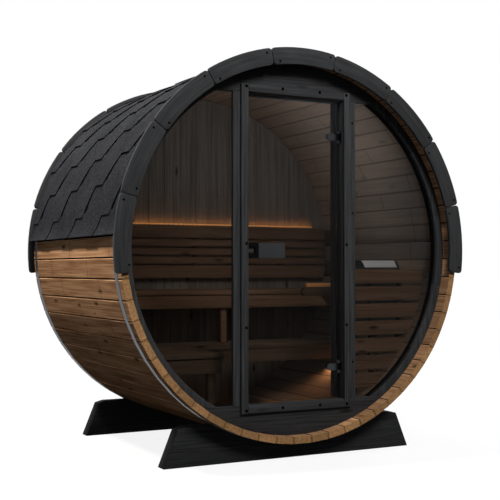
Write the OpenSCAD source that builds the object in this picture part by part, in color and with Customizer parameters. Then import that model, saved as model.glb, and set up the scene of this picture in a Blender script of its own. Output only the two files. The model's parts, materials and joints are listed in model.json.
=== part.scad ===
// Barrel sauna: a round room of bevelled staves drawn together by two steel hoops,
// with a shingled roof over its upper half, a glazed front and two shaped cradles.

/* [Barrel] */
// Diameter outside, across the flat faces of the staves
barrel_d = 2060; // [1960:10:2160]
// Length of the staves
barrel_l = 1455; // [1420:5:1700]
// Thickness of a stave
stave_t = 36; // [30:1:42]
// Number of staves in the circle
stave_n = 60; // [56:4:64]
// Width of the bevel along the outer edges of a stave
stave_bevel = 4; // [1:0.5:5]
// Gap left in the joint between two staves
stave_gap = 0.4; // [0.3:0.1:1]

/* [Hoops] */
// Width of the steel hoops
hoop_w = 40; // [25:1:50]
// Thickness of the steel hoops
hoop_t = 1.5; // [1:0.1:2.5]
// From the front end of the staves to the middle of the front hoop
hoop_front_in = 72; // [60:1:75]
// From the rear end of the staves to the middle of the rear hoop
hoop_rear_in = 45; // [35:1:70]
// Angle from the top to the tensioner of a hoop
tensioner_angle = 135; // [120:1:145]
// Distance between the two lugs of a tensioner
lug_gap = 70; // [50:1:90]
// Height of a lug above the hoop
lug_h = 28; // [20:1:34]
// Thickness of a lug
lug_t = 4; // [3:0.5:6]
// Diameter of the tensioner bolt
bolt_d = 10; // [6:1:12]

/* [Roof] */
// Half of the angle that the roof covers
roof_half_angle = 86.7; // [80:0.1:90]
// Thickness of the underlay beneath the shingles
underlay_t = 4; // [2:0.5:6]
// Thickness of a shingle course
shingle_t = 4; // [3:0.5:5]
// Height of a course that stays in view
course_h = 168; // [150:1:185]
// Height of the starter strip below the first course
starter_h = 104; // [80:1:130]
// Distance that the starter strip flares out at the eave
eave_flare = 22; // [10:1:26]
// Length of a course that lies under the next one
course_lap = 24; // [15:1:30]
// Looseness of a course that laps over another
lap_gap = 1.2; // [0.8:0.1:2]
// Half of the width of the ridge cap
ridge_half_w = 92; // [70:1:95]

/* [Fascia] */
// Height that the fascia boards stand above the staves
fascia_rise = 36; // [30:1:45]
// Width of the fascia boards across the curve
fascia_w = 90; // [80:1:100]
// Thickness of the fascia boards
fascia_t = 20; // [15:1:28]
// Number of boards in each fascia
fascia_n = 9; // [7:2:11]
// Angle from the top to the lower end of a fascia
fascia_half_angle = 97.3; // [92:0.1:105]
// Joint between two fascia boards
fascia_gap = 2.4; // [0.6:0.1:3]

/* [Cradles] */
// Wood left under the lowest stave
cradle_under = 86; // [70:1:110]
// Height of the cradles
cradle_h = 204; // [190:1:230]
// Width of a cradle at the ground
cradle_foot_w = 1514; // [1440:2:1600]
// Width of a cradle across its shoulders
cradle_top_w = 1356; // [1300:2:1420]
// Thickness of a cradle
cradle_t = 78; // [60:1:90]
// From the end of the staves to the face of a cradle
cradle_in = 100; // [98:1:200]
// Height of the chamfer on the shoulder of a cradle
cradle_chamfer = 12; // [5:1:25]
// Length of that chamfer along the top
cradle_chamfer_l = 48; // [20:1:80]

/* [Front wall] */
// From the front end of the staves to the face of the front wall
wall_in = 68; // [55:1:80]
// Width of the curved frame round the windows
ring_w = 48; // [40:1:60]
// Angle of the middle boards in the curved frame
ring_step = 24; // [20:1:26]
// Depth of the curved frame behind the glass
ring_back_t = 29; // [20:1:40]
// Height in the middle of the boards above and below the opening
header_h = 174; // [150:1:200]
// Thickness of the boards above and below the opening
panel_t = 45; // [32:1:60]
// From the face of the front wall to the glass
glass_in = 23; // [18:1:30]
// Thickness of the glass
glass_t = 8; // [6:1:10]
// From the staves to the edge of a window pane
pane_in = 7; // [4:1:12]
// How far a window pane goes behind the front of a door post
pane_lap = 40; // [30:1:46]
// Width of a door post
post_w = 82; // [70:1:95]
// Depth of a door post
post_d = 100; // [90:1:120]
// From the face of the front wall to the back of the lining round the doorway
lining_d = 132; // [125:1:160]
// Thickness of that lining
lining_t = 18; // [12:1:25]
// Clearance of pieces that are fitted together
fit_gap = 0.3; // [0.2:0.1:0.5]

/* [Door] */
// Clear width between the door posts
door_w = 596; // [560:2:640]
// Gap round the door
door_gap = 6; // [5:0.5:8]
// Width of the strips planted round the doorway
strip_w = 42; // [34:1:50]
// Thickness of those strips
strip_t = 18; // [12:1:22]

/* [Hinges] */
// From the door post to the hinge axis
hinge_out = 16; // [15:0.5:20]
// From the top of the opening to the middle of the upper hinge
hinge_top_in = 200; // [140:5:300]
// From the bottom of the opening to the middle of the lower hinge
hinge_bottom_in = 175; // [140:5:300]
// Length of a clamp on the glass
clamp_l = 64; // [50:1:80]
// Height of a clamp
clamp_h = 37; // [30:1:45]
// Thickness of a clamp plate
clamp_t = 4; // [3:0.5:5]
// Diameter of the hinge knuckles
knuckle_d = 14; // [12:0.5:16]
// Diameter of the hinge pin
pin_d = 6; // [5:0.5:7]
// Clearance round the hinge pin
pin_gap = 0.05; // [0.03:0.01:0.2]
// Play between two knuckles
knuckle_play = 0.5; // [0.3:0.1:1]
// From the hinge knuckle to the edge of the door glass
knuckle_gap = 3; // [2:0.5:5]
// Length of a knuckle on the post side
post_knuckle_h = 16; // [12:1:20]
// Thickness of the plate on the post
hinge_plate_t = 4; // [3:0.5:5]
// Width of the plate on the post
hinge_plate_w = 40; // [30:1:45]

/* [Handle] */
// Length of the handle block
handle_l = 160; // [120:1:190]
// Height of the handle block
handle_h = 82; // [60:1:100]
// Thickness of the handle block
handle_t = 22; // [15:1:28]
// From the free edge of the door to the catch
catch_in = 6; // [4:1:15]
// Length of the catch beside the handle
catch_l = 57; // [40:1:70]
// Thickness of the catch
catch_t = 16; // [10:1:20]
// Height of the mouth of the catch
catch_mouth_h = 30; // [20:1:40]
// Depth of the mouth of the catch
catch_mouth_l = 40; // [20:1:45]
// Height of the middle of the handle below the barrel axis
handle_drop = 12; // [0:1:60]
// Chamfer on the corners of the handle block
handle_chamfer = 5; // [2:1:10]

/* [Back wall] */
// Thickness of the back wall boards
back_t = 42; // [30:1:50]
// Number of boards in the back wall
back_n = 18; // [14:2:22]

/* [Benches] */
// Thickness of the bench boards
board_t = 28; // [20:1:35]
// Gap between two bench boards
board_gap = 10; // [6:1:14]
// Height of the aprons and rails
apron_h = 80; // [60:1:95]
// Thickness of the aprons and rails
apron_t = 28; // [20:1:35]
// Distance that a bench board stands over its apron
nose = 10; // [5:1:20]
// Level of the upper bench below the barrel axis
upper_drop = 237; // [200:1:260]
// Depth of the upper bench from the back wall
upper_depth = 445; // [420:5:480]
// Number of boards in the upper bench
upper_n = 4; // [3:1:5]
// Level of the lower bench below the barrel axis
lower_drop = 557; // [540:1:580]
// Depth of the lower bench from the back wall
lower_depth = 600; // [560:5:640]
// Number of boards in the step of the lower bench
step_n = 3; // [2:1:3]
// Width of a board in the step of the lower bench
step_board_w = 102; // [90:1:110]
// From the front end of the staves to the wing of the lower bench
wing_front = 250; // [230:5:300]
// From the middle of the room to the wing
wing_side = 339; // [320:1:380]
// Number of boards in the wing
wing_n = 4; // [3:1:5]
// Width of the bench posts
leg_w = 38; // [30:1:45]
// Depth of the bench posts
leg_d = 42; // [30:1:60]

/* [Backrest] */
// Level of the top of the backrest above the barrel axis
rest_top = 174; // [140:1:200]
// Height of the wide slats at the top and the bottom
rest_wide = 84; // [70:1:95]
// Height of the narrow slats between them
rest_narrow = 47; // [40:1:55]
// Gap between two slats
rest_gap = 8; // [5:1:12]
// Thickness of a slat
rest_t = 20; // [15:1:25]
// From the end of a slat to the staves
rest_end = 28; // [15:1:60]
// Width of the battens behind the slats
batten_w = 45; // [35:1:60]
// Thickness of the battens
batten_t = 28; // [20:1:35]
// From the middle of the room to an outer batten
batten_out = 620; // [500:10:750]
// From the end of the light strip to the end of the slat that carries it
light_end = 93; // [60:1:150]
// Height of the light strip
light_h = 8; // [5:1:12]
// Width of the light strip
light_w = 14; // [8:1:18]

/* [Heater] */
// From the front end of the staves to the heater guard
guard_front = 240; // [225:5:260]
// Distance that the guard reaches past the heater
guard_over = 120; // [100:1:140]
// Level of the top of the guard below the barrel axis
guard_drop = 108; // [90:1:130]
// Height of a slat of the guard
guard_slat_h = 85; // [70:1:90]
// Gap between two slats of the guard
guard_gap = 14.5; // [10:0.5:20]
// Number of slats in the guard
guard_n = 7; // [5:1:7]
// Thickness of the slats and posts of the guard
guard_t = 22; // [18:1:28]
// Width of the posts of the guard
guard_post_w = 30; // [25:1:40]
// Number of posts in the guard
guard_post_n = 3; // [2:1:3]
// Spacing of the posts of the guard
guard_post_step = 200; // [160:5:205]
// From the posts of the guard to the heater
heater_in = 26; // [20:1:50]
// From the heater to the staves beside its foot
heater_clear = 31; // [25:1:60]
// Part of the way from the guard to the lower bench that the heater fills
heater_share = 0.55; // [0.5:0.01:0.6]
// Width of the heater
heater_w = 330; // [300:5:340]
// Level of the rim of the heater below the barrel axis
heater_drop = 100; // [90:1:130]
// Height of the heater
heater_h = 340; // [300:5:350]
// Height of the steel hood on the heater
hood_h = 42; // [30:1:50]
// Distance that the hood leans back
hood_lean = 30; // [15:1:40]
// Width of the cheek of the casing on the left of the hood
cheek_left_w = 76; // [50:1:90]
// Width of the cheek on the right of the hood
cheek_right_w = 18; // [10:1:40]
// Width of the heater legs
heater_leg_w = 25; // [20:1:30]
// From the heater rail to the upper bench behind it
rail_in = 159; // [120:1:180]
// Distance that the heater rail reaches past the heater
rail_over = 103; // [80:1:110]
// Level of the top of the heater rail below the barrel axis
rail_drop = 196; // [180:1:220]
// Height of the board under the heater rail
rail_h = 55; // [45:1:65]
// Thickness of the heater rail
rail_t = 24; // [18:1:30]
// Width of the heater rail
rail_w = 26; // [22:1:32]
// Distance that the rounded board reaches past the rail
rail_nose = 30; // [15:1:40]
// From the rounded end of that board to the gusset under it
gusset_in = 153; // [130:1:180]
// Height of the gusset
gusset_h = 63; // [40:1:80]
// Distance that the edge of the gusset slopes
gusset_slope = 44; // [30:1:60]

/* [Hidden] */
$fn = 180;
// Derived sizes of the barrel
barrel_r = barrel_d / 2;
room_r = barrel_r - stave_t - fit_gap;
stave_half = 180 / stave_n;
stave_edge = (barrel_r - stave_bevel) * tan(stave_half) - stave_gap / 2;
corner_r = norm([barrel_r, stave_edge - stave_bevel]);
seat_r = corner_r + fit_gap;
axis_h = cradle_under + seat_r;
// Derived sizes of the hoops and the roof
hoop_r = barrel_r + fit_gap;
hoop_outer_r = (hoop_r + hoop_t) / cos(stave_half);
underlay_r = hoop_outer_r + fit_gap;
course_r = underlay_r + underlay_t + fit_gap;
course_lift = shingle_t + lap_gap;
roof_arc = course_r * roof_half_angle * PI / 180;
course_n = floor((roof_arc - starter_h - ridge_half_w) / course_h) + 1;
ridge_r = course_r + course_lift + shingle_t;
fascia_r = barrel_r + fascia_rise;
// Derived places of the front wall and the door
half_open = room_r - header_h;
glass_front = wall_in + glass_in;
glass_back = glass_front + glass_t;
ring_r = room_r - ring_w;
post_x = door_w / 2;
pane_x = post_x + post_w;
hinge_x = post_x - hinge_out;
hinge_y = glass_front + glass_t / 2;
glass_edge_x = hinge_x - knuckle_d / 2 - knuckle_gap;
bore_r = pin_d / 2 + pin_gap;
knuckle_z = clamp_h / 2 + knuckle_play;
plate_h = 2 * (knuckle_z + post_knuckle_h);
catch_x = -post_x + door_gap + catch_in;
handle_x = catch_x + catch_l + fit_gap;
// Derived places inside the room
back_in = barrel_l - wall_in - back_t;
upper_front = back_in - upper_depth;
upper_board_w = (upper_depth - fit_gap + board_gap) / upper_n - board_gap;
step_front = back_in - lower_depth;
wing_board_w = (step_front - wing_front) / wing_n - board_gap;
rest_front = back_in - batten_t - rest_t;
rest_heights = [rest_wide, rest_narrow, rest_narrow, rest_narrow, rest_wide];
rest_total = 2 * rest_wide + 3 * rest_narrow + 4 * rest_gap;
rest_half_l = sqrt(pow(room_r, 2) - pow(max(rest_top, rest_total - rest_top), 2)) - rest_end;
light_half_l = rest_half_l - light_end;
heater_foot = heater_drop + heater_h;
heater_side = sqrt(pow(room_r, 2) - pow(heater_foot, 2)) - heater_clear - heater_w;
heater_front = guard_front + 2 * guard_t + heater_in;
heater_d = heater_share * (step_front - heater_front);
guard_side = heater_side - guard_over;
rail_front = upper_front - rail_in - rail_w;
rail_side = heater_side - rail_over;

// Extrude an outline, drawn across the barrel with its axis at the origin, from y0 to y1 of the length
module slice(y0, y1) {
    translate([0, y1 - barrel_l / 2, axis_h])
        rotate([90, 0, 0])
            linear_extrude(y1 - y0)
                children();
}

// A board with its corners given across, along and above the barrel axis
module board(x, y, z) {
    translate([x[0], y[0] - barrel_l / 2, axis_h + z[0]])
        cube([x[1] - x[0], y[1] - y[0], z[1] - z[0]]);
}

// The same board with its ends scribed to the inside of the barrel
module scribed(x, y, z) {
    slice(y[0], y[1])
        intersection() {
            circle(room_r);
            translate([x[0], z[0]])
                square([x[1] - x[0], z[1] - z[0]]);
        }
}

// Point at an angle from the top of the barrel
function round_point(r, a) = [r * sin(a), r * cos(a)];

// Outline of a piece of a ring between two angles from the top
module ring_piece(r0, r1, a0, a1) {
    intersection() {
        difference() {
            circle(r1);
            circle(r0);
        }
        polygon(concat([[0, 0]], [for (a = [a0, (a0 + a1) / 2, a1]) round_point(2 * r1, a)]));
    }
}

// Outline of one stave at the top of the circle, narrower inside than outside
module stave_outline() {
    inner = (barrel_r - stave_t) * tan(stave_half) - stave_gap / 2;
    polygon([
        [-inner, barrel_r - stave_t],
        [inner, barrel_r - stave_t],
        [stave_edge, barrel_r - stave_bevel],
        [stave_edge - stave_bevel, barrel_r],
        [stave_bevel - stave_edge, barrel_r],
        [-stave_edge, barrel_r - stave_bevel]
    ]);
}

// A quarter of the staves, the first quarter being the one at the top
module stave_quarter(quarter) {
    per_quarter = stave_n / 4;
    first = quarter * per_quarter - floor(per_quarter / 2);
    color("peru")
        for (i = [first : first + per_quarter - 1])
            slice(0, barrel_l)
                rotate(-2 * stave_half * i)
                    stave_outline();
}

module roof_staves() { stave_quarter(0); }

module right_staves() { stave_quarter(1); }

module floor_staves() { stave_quarter(2); }

module left_staves() { stave_quarter(3); }

// Outline of a band with one flat for each stave
module band_outline(r) {
    polygon([for (i = [0 : stave_n - 1]) round_point(r / cos(stave_half), 2 * stave_half * (i + 0.5))]);
}

// Steel hoop, open between two lugs that a bolt draws together
module hoop(middle) {
    lug_r = hoop_r + hoop_t + lug_h;
    color("lightsteelblue") {
        slice(middle - hoop_w / 2, middle + hoop_w / 2) {
            difference() {
                band_outline(hoop_r + hoop_t);
                band_outline(hoop_r);
                rotate(-tensioner_angle)
                    translate([-lug_gap / 2, barrel_r / 2])
                        square([lug_gap, barrel_r]);
            }
            rotate(-tensioner_angle)
                for (side = [-1, 1])
                    translate([side * (lug_gap + lug_t) / 2 - lug_t / 2, hoop_r + hoop_t / 2])
                        square([lug_t, lug_r - hoop_r - hoop_t / 2]);
        }
        translate([0, middle - barrel_l / 2, axis_h])
            rotate([0, tensioner_angle, 0])
                translate([0, 0, lug_r - lug_h / 2])
                    rotate([0, 90, 0])
                        cylinder(h = lug_gap + 2 * lug_t + 2 * bolt_d, d = bolt_d, center = true);
    }
}

module front_hoop() { hoop(hoop_front_in); }

module rear_hoop() { hoop(barrel_l - hoop_rear_in); }

module roof_underlay() {
    half = roof_half_angle / 2;
    color("dimgray")
        slice(fit_gap, barrel_l - fit_gap)
            for (side = [-1, 1])
                rotate(-side * half)
                    ring_piece(underlay_r, underlay_r + underlay_t, -half, half);
}

// One shingle course from its lower edge up to its head, lifted at the lower edge by the course below
module course(low, high) {
    steps = 4;
    inner = [for (i = [0 : steps])
        round_point(course_r + course_lift * i / steps,
            (high + (low - high) * i / steps) / course_r * 180 / PI)];
    outer = [for (i = [steps : -1 : 0])
        round_point(course_r + shingle_t + course_lift * i / steps,
            (high + (low - high) * i / steps) / course_r * 180 / PI)];
    slice(fit_gap, barrel_l - fit_gap)
        polygon(concat(inner, outer));
}

// Starter strip, which follows the barrel under the first course and flares out to the eave
module starter(low) {
    steps = 6;
    arcs = concat([low - course_lap], [for (i = [0 : steps]) low + starter_h * i / steps]);
    radii = [for (arc = arcs) course_r + eave_flare * pow(max(0, arc - low) / starter_h, 2)];
    inner = [for (i = [0 : steps + 1]) round_point(radii[i], arcs[i] / course_r * 180 / PI)];
    outer = [for (i = [steps + 1 : -1 : 0])
        round_point(radii[i] + shingle_t, arcs[i] / course_r * 180 / PI)];
    slice(fit_gap, barrel_l - fit_gap)
        polygon(concat(inner, outer));
}

// All courses of one roof slope, with the starter strip along the eave
module slope_courses() {
    first_low = roof_arc - starter_h;
    starter(first_low);
    for (i = [0 : course_n - 1]) {
        low = first_low - i * course_h;
        course(low, max(low - course_h - course_lap, fit_gap));
    }
}

module right_shingles() {
    color("darkslategray")
        slope_courses();
}

module left_shingles() {
    color("darkslategray")
        mirror([1, 0, 0])
            slope_courses();
}

module ridge_cap() {
    half = ridge_half_w / ridge_r * 180 / PI;
    color("darkslategray")
        slice(fit_gap, barrel_l - fit_gap)
            ring_piece(ridge_r, ridge_r + shingle_t, -half, half);
}

// Arched row of fascia boards with open joints
module fascia(y0) {
    step = 2 * fascia_half_angle / fascia_n;
    joint = fascia_gap / fascia_r * 90 / PI;
    color("#2b2b2d")
        for (i = [0 : fascia_n - 1])
            slice(y0, y0 + fascia_t)
                rotate(fascia_half_angle - (i + 0.5) * step)
                    ring_piece(fascia_r - fascia_w, fascia_r, joint - step / 2, step / 2 - joint);
}

module front_fascia() { fascia(-fascia_t); }

module rear_fascia() { fascia(barrel_l); }

// Plank with slanting ends and a hollow that seats the barrel
module cradle(y0) {
    top = cradle_h - axis_h;
    foot = cradle_foot_w / 2;
    shoulder = cradle_top_w / 2;
    color("#2b2b2d")
        slice(y0, y0 + cradle_t)
            difference() {
                polygon([
                    [-foot, -axis_h], [foot, -axis_h],
                    [shoulder, top - cradle_chamfer], [shoulder - cradle_chamfer_l, top],
                    [cradle_chamfer_l - shoulder, top], [-shoulder, top - cradle_chamfer]
                ]);
                circle(seat_r);
            }
}

module front_cradle() { cradle(cradle_in); }

module rear_cradle() { cradle(barrel_l - cradle_in - cradle_t); }

// Boards that close the circle above or below the opening
module front_panel(side) {
    color("#2b2b2d")
        slice(wall_in, wall_in + panel_t)
            intersection() {
                circle(room_r);
                translate([-room_r, side > 0 ? half_open : -half_open - room_r])
                    square([2 * room_r, room_r]);
            }
}

module front_header() { front_panel(1); }

module front_sill() { front_panel(-1); }

// Curved frame of one window, in five boards
module window_ring(side, y0, y1) {
    ends = [180, 90 + 1.5 * ring_step, 90 + 0.5 * ring_step, 90 - 0.5 * ring_step, 90 - 1.5 * ring_step, 0];
    joint = fit_gap / room_r * 90 / PI;
    for (i = [0 : 4])
        slice(y0, y1)
            intersection() {
                ring_piece(ring_r, room_r, side * (ends[i + 1] + joint), side * (ends[i] - joint));
                square([2 * room_r, 2 * (half_open - fit_gap)], center = true);
            }
}

module left_window_ring() {
    color("#2b2b2d")
        window_ring(-1, wall_in, glass_front - fit_gap);
}

module right_window_ring() {
    color("#2b2b2d")
        window_ring(1, wall_in, glass_front - fit_gap);
}

module left_glazing_ring() {
    color("peru")
        window_ring(-1, glass_back + fit_gap, glass_back + ring_back_t);
}

module right_glazing_ring() {
    color("peru")
        window_ring(1, glass_back + fit_gap, glass_back + ring_back_t);
}

// Post beside the doorway, rebated from behind for the edge of a window pane
module door_post(side) {
    stem = pane_x - pane_lap - fit_gap;
    lip = glass_front - fit_gap;
    back = wall_in + post_d;
    top = half_open - fit_gap;
    color("#2b2b2d")
        translate([0, -barrel_l / 2, axis_h - top])
            linear_extrude(2 * top)
                polygon([
                    [side * post_x, wall_in],
                    [side * pane_x, wall_in],
                    [side * pane_x, lip],
                    [side * stem, lip],
                    [side * stem, back],
                    [side * post_x, back]
                ]);
}

module left_post() { door_post(-1); }

module right_post() { door_post(1); }

// Strips planted round the doorway: two uprights, with the head and the threshold between them
module door_strips() {
    y = [wall_in - strip_t, wall_in];
    reach = half_open + strip_w;
    for (x = [-post_x - strip_w, post_x])
        board([x, x + strip_w], y, [-reach, reach]);
    for (z = [half_open, -reach])
        board([fit_gap - post_x, post_x - fit_gap], y, [z, z + strip_w]);
}

// Lining inside the doorway: a board behind each post, under one behind the header
module door_lining() {
    back = wall_in + lining_d;
    top = half_open - fit_gap;
    for (x = [-post_x - lining_t, post_x])
        board([x, x + lining_t], [wall_in + post_d + fit_gap, back], [-top, top]);
    board([-post_x - lining_t, post_x + lining_t], [wall_in + panel_t + fit_gap, back],
        [half_open, half_open + lining_t]);
}

module door_frame() {
    color("#2b2b2d") {
        door_strips();
        door_lining();
    }
}

// Pane cut to the circle, held between the two rings
module window_pane(side) {
    color("#4a4038", 0.5)
        slice(glass_front, glass_back)
            intersection() {
                circle(room_r - pane_in);
                translate([side > 0 ? pane_x - pane_lap : -room_r, fit_gap - half_open])
                    square([room_r - pane_x + pane_lap, 2 * (half_open - fit_gap)]);
            }
}

module left_window() { window_pane(-1); }

module right_window() { window_pane(1); }

// Upright boards of the back wall, each cut to the circle
module back_wall() {
    pitch = 2 * room_r / back_n;
    color("peru")
        for (i = [0 : back_n - 1])
            scribed([i * pitch - room_r + stave_gap / 2, (i + 1) * pitch - room_r - stave_gap / 2],
                [back_in, back_in + back_t], [-room_r, room_r]);
}

// Boards of the upper bench, from wall to wall
module upper_bench() {
    color("sienna")
        for (i = [0 : upper_n - 1])
            scribed([-room_r, room_r],
                [upper_front + i * (upper_board_w + board_gap),
                    upper_front + i * (upper_board_w + board_gap) + upper_board_w],
                [-upper_drop - board_t, -upper_drop]);
}

// Apron and ledger under the upper bench, and a post in the middle that stands on the lower bench
module upper_bench_frame() {
    under = -upper_drop - board_t - fit_gap;
    apron_back = upper_front + nose + apron_t;
    color("sienna") {
        scribed([-room_r, room_r], [upper_front + nose, apron_back], [under - apron_h, under]);
        scribed([-room_r, room_r], [back_in - apron_t, back_in], [under - apron_h, under]);
        board([-leg_w / 2, leg_w / 2], [apron_back + fit_gap, apron_back + fit_gap + leg_d],
            [-lower_drop, under]);
    }
}

// Boards of the lower bench: a step under the upper bench and a wing beside the door
module lower_bench() {
    z = [-lower_drop - board_t, -lower_drop];
    color("sienna") {
        for (i = [0 : step_n - 1])
            scribed([-room_r, room_r],
                [step_front + i * (step_board_w + board_gap),
                    step_front + i * (step_board_w + board_gap) + step_board_w], z);
        for (i = [0 : wing_n - 1])
            scribed([-room_r, -wing_side],
                [wing_front + i * (wing_board_w + board_gap),
                    wing_front + i * (wing_board_w + board_gap) + wing_board_w], z);
    }
}

// Aprons under the step and the wing, a rail along the wing and its corner post
module lower_bench_frame() {
    under = -lower_drop - board_t - fit_gap;
    wing_back = wing_front + nose + apron_t;
    rail_x = -wing_side - nose;
    color("sienna") {
        scribed([-room_r, room_r], [step_front + nose, step_front + nose + apron_t],
            [under - apron_h, under]);
        scribed([-room_r, rail_x], [wing_front + nose, wing_back], [under - apron_h, under]);
        scribed([rail_x - apron_t, rail_x], [wing_back + fit_gap, step_front + nose - fit_gap],
            [under - apron_h, under]);
        scribed([rail_x - apron_t - fit_gap - leg_w, rail_x - apron_t - fit_gap],
            [wing_back + fit_gap, wing_back + fit_gap + leg_d], [-room_r, under]);
    }
}

// Level of the underside of a slat of the backrest, counted from the top
function rest_level(i) =
    i == 0 ? rest_top - rest_heights[0] : rest_level(i - 1) - rest_gap - rest_heights[i];

module backrest() {
    color("sienna")
        for (i = [0 : len(rest_heights) - 1])
            board([-rest_half_l, rest_half_l], [rest_front, rest_front + rest_t],
                [rest_level(i), rest_level(i) + rest_heights[i]]);
}

module backrest_battens() {
    color("sienna")
        for (x = [-batten_out, 0, batten_out])
            board([x - batten_w / 2, x + batten_w / 2], [back_in - batten_t, back_in],
                [rest_top - rest_total, rest_top]);
}

// Light strip that lies on the top slat
module light_strip() {
    color("orange")
        board([-light_half_l, light_half_l], [rest_front + rest_t - light_w, rest_front + rest_t],
            [rest_top, rest_top + light_h]);
}

// Slats of the guard in front of the heater, scribed to the staves
module heater_guard() {
    color("sienna")
        for (i = [0 : guard_n - 1])
            scribed([guard_side, room_r], [guard_front, guard_front + guard_t],
                [-guard_drop - guard_slat_h - i * (guard_slat_h + guard_gap),
                    -guard_drop - i * (guard_slat_h + guard_gap)]);
}

// Posts that carry the slats and stand on the staves
module guard_posts() {
    color("sienna")
        for (i = [0 : guard_post_n - 1])
            scribed([guard_side + i * guard_post_step, guard_side + i * guard_post_step + guard_post_w],
                [guard_front + guard_t, guard_front + 2 * guard_t], [-room_r, -guard_drop]);
}

// Outline from the side of the top of the heater, from a level up, with its face leaning back
module hood_outline(level) {
    front = heater_front - barrel_l / 2;
    back = front + heater_d;
    top = axis_h - heater_drop + hood_h;
    polygon([[front, level], [back, level], [back, top], [front + hood_lean, top]]);
}

// The top of the heater between two places across the room
module heater_top(x0, x1, level) {
    translate([x0, 0, 0])
        rotate([90, 0, 90])
            linear_extrude(x1 - x0)
                hood_outline(level);
}

// Heater casing with a cheek on each side of its hood, on four legs that stand on the staves
module heater() {
    x = [heater_side, heater_side + heater_w];
    y = [heater_front, heater_front + heater_d];
    rim = axis_h - heater_drop;
    color("#2f2f31") {
        board(x, y, [-heater_foot, -heater_drop]);
        heater_top(x[0], x[0] + cheek_left_w, rim);
        heater_top(x[1] - cheek_right_w, x[1], rim);
        for (leg_x = [x[0], x[1] - heater_leg_w], leg_y = [y[0], y[1] - heater_leg_w])
            scribed([leg_x, leg_x + heater_leg_w], [leg_y, leg_y + heater_leg_w],
                [-room_r, -heater_foot - fit_gap]);
    }
}

// Steel hood between the cheeks of the heater
module heater_hood() {
    color("silver")
        heater_top(heater_side + cheek_left_w + fit_gap, heater_side + heater_w - cheek_right_w - fit_gap,
            axis_h - heater_drop + fit_gap);
}

// Rail between the heater and the bench: a board with a rounded end and a gusset, under a square rail
module heater_rail() {
    under = -rail_drop - rail_t;
    r = rail_h / 2;
    gusset_x = rail_side + gusset_in;
    gusset_z = under - rail_h - gusset_h;
    color("sienna") {
        slice(rail_front, rail_front + rail_w)
            intersection() {
                circle(room_r);
                union() {
                    translate([rail_side + r, under - rail_h])
                        square([room_r, rail_h]);
                    translate([rail_side + r, under - r])
                        circle(r);
                    polygon([[gusset_x, under - r], [gusset_x, under - rail_h],
                        [gusset_x + gusset_slope, gusset_z], [room_r, gusset_z], [room_r, under - r]]);
                }
            }
        scribed([rail_side + rail_nose, room_r], [rail_front, rail_front + rail_w], [under, -rail_drop]);
    }
}

// Hinge plate on the post, with two knuckles and the pin
module hinge_plate(z) {
    translate([0, hinge_y - barrel_l / 2, axis_h + z])
        color("silver") {
            translate([post_x - hinge_plate_t, -hinge_plate_w / 2, -plate_h / 2])
                cube([hinge_plate_t, hinge_plate_w, plate_h]);
            for (low = [-plate_h / 2, knuckle_z])
                translate([hinge_x, 0, low]) {
                    cylinder(h = post_knuckle_h, d = knuckle_d);
                    translate([0, -knuckle_d / 2, 0])
                        cube([hinge_out - hinge_plate_t / 2, knuckle_d, post_knuckle_h]);
                }
            translate([hinge_x, 0, -plate_h / 2])
                cylinder(h = plate_h, d = pin_d);
        }
}

module upper_hinge_plate() { hinge_plate(half_open - hinge_top_in); }

module lower_hinge_plate() { hinge_plate(hinge_bottom_in - half_open); }

// Hinge clamp: two plates with a rounded end that grip the glass, and a bored knuckle
module hinge_clamp(z) {
    grip = glass_t + 2 * fit_gap;
    half = grip / 2 + clamp_t;
    start_x = glass_edge_x - clamp_l + clamp_h / 2;
    translate([0, hinge_y - barrel_l / 2, axis_h + z])
        color("gainsboro")
            difference() {
                union() {
                    rotate([90, 0, 0])
                        linear_extrude(2 * half, center = true) {
                            translate([start_x, 0])
                                circle(d = clamp_h);
                            translate([start_x, -clamp_h / 2])
                                square([hinge_x - start_x, clamp_h]);
                        }
                    translate([hinge_x, 0, 0])
                        cylinder(h = clamp_h, d = knuckle_d, center = true);
                }
                translate([glass_edge_x + fit_gap - room_r, -grip / 2, -clamp_h])
                    cube([room_r, grip, 2 * clamp_h]);
                translate([hinge_x, 0, 0])
                    cylinder(h = 2 * clamp_h, r = bore_r, center = true);
            }
}

module upper_hinge_clamp() { hinge_clamp(half_open - hinge_top_in); }

module lower_hinge_clamp() { hinge_clamp(hinge_bottom_in - half_open); }

module door_glass() {
    color("#4a4038", 0.5)
        board([door_gap - post_x, glass_edge_x], [glass_front, glass_back],
            [door_gap - half_open, half_open - door_gap]);
}

// Outline of the handle block with its corners cut
module handle_outline() {
    c = handle_chamfer;
    l = handle_l;
    h = handle_h / 2;
    polygon([[c, -h], [l - c, -h], [l, c - h], [l, h - c], [l - c, h], [c, h], [0, h - c], [0, c - h]]);
}

// Handle blocks on both faces of the glass
module door_handle() {
    color("dimgray")
        for (y = [glass_front - fit_gap - handle_t, glass_back + fit_gap])
            slice(y, y + handle_t)
                translate([handle_x, -handle_drop])
                    handle_outline();
}

// Catch beside the handle, with a mouth towards the post
module door_catch() {
    color("#1c1c1e")
        slice(glass_front - fit_gap - catch_t, glass_front - fit_gap)
            translate([catch_x, -handle_drop])
                difference() {
                    translate([0, -handle_h / 2])
                        square([catch_l, handle_h]);
                    translate([-catch_l, -catch_mouth_h / 2])
                        square([catch_l + catch_mouth_l, catch_mouth_h]);
                }
}

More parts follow.
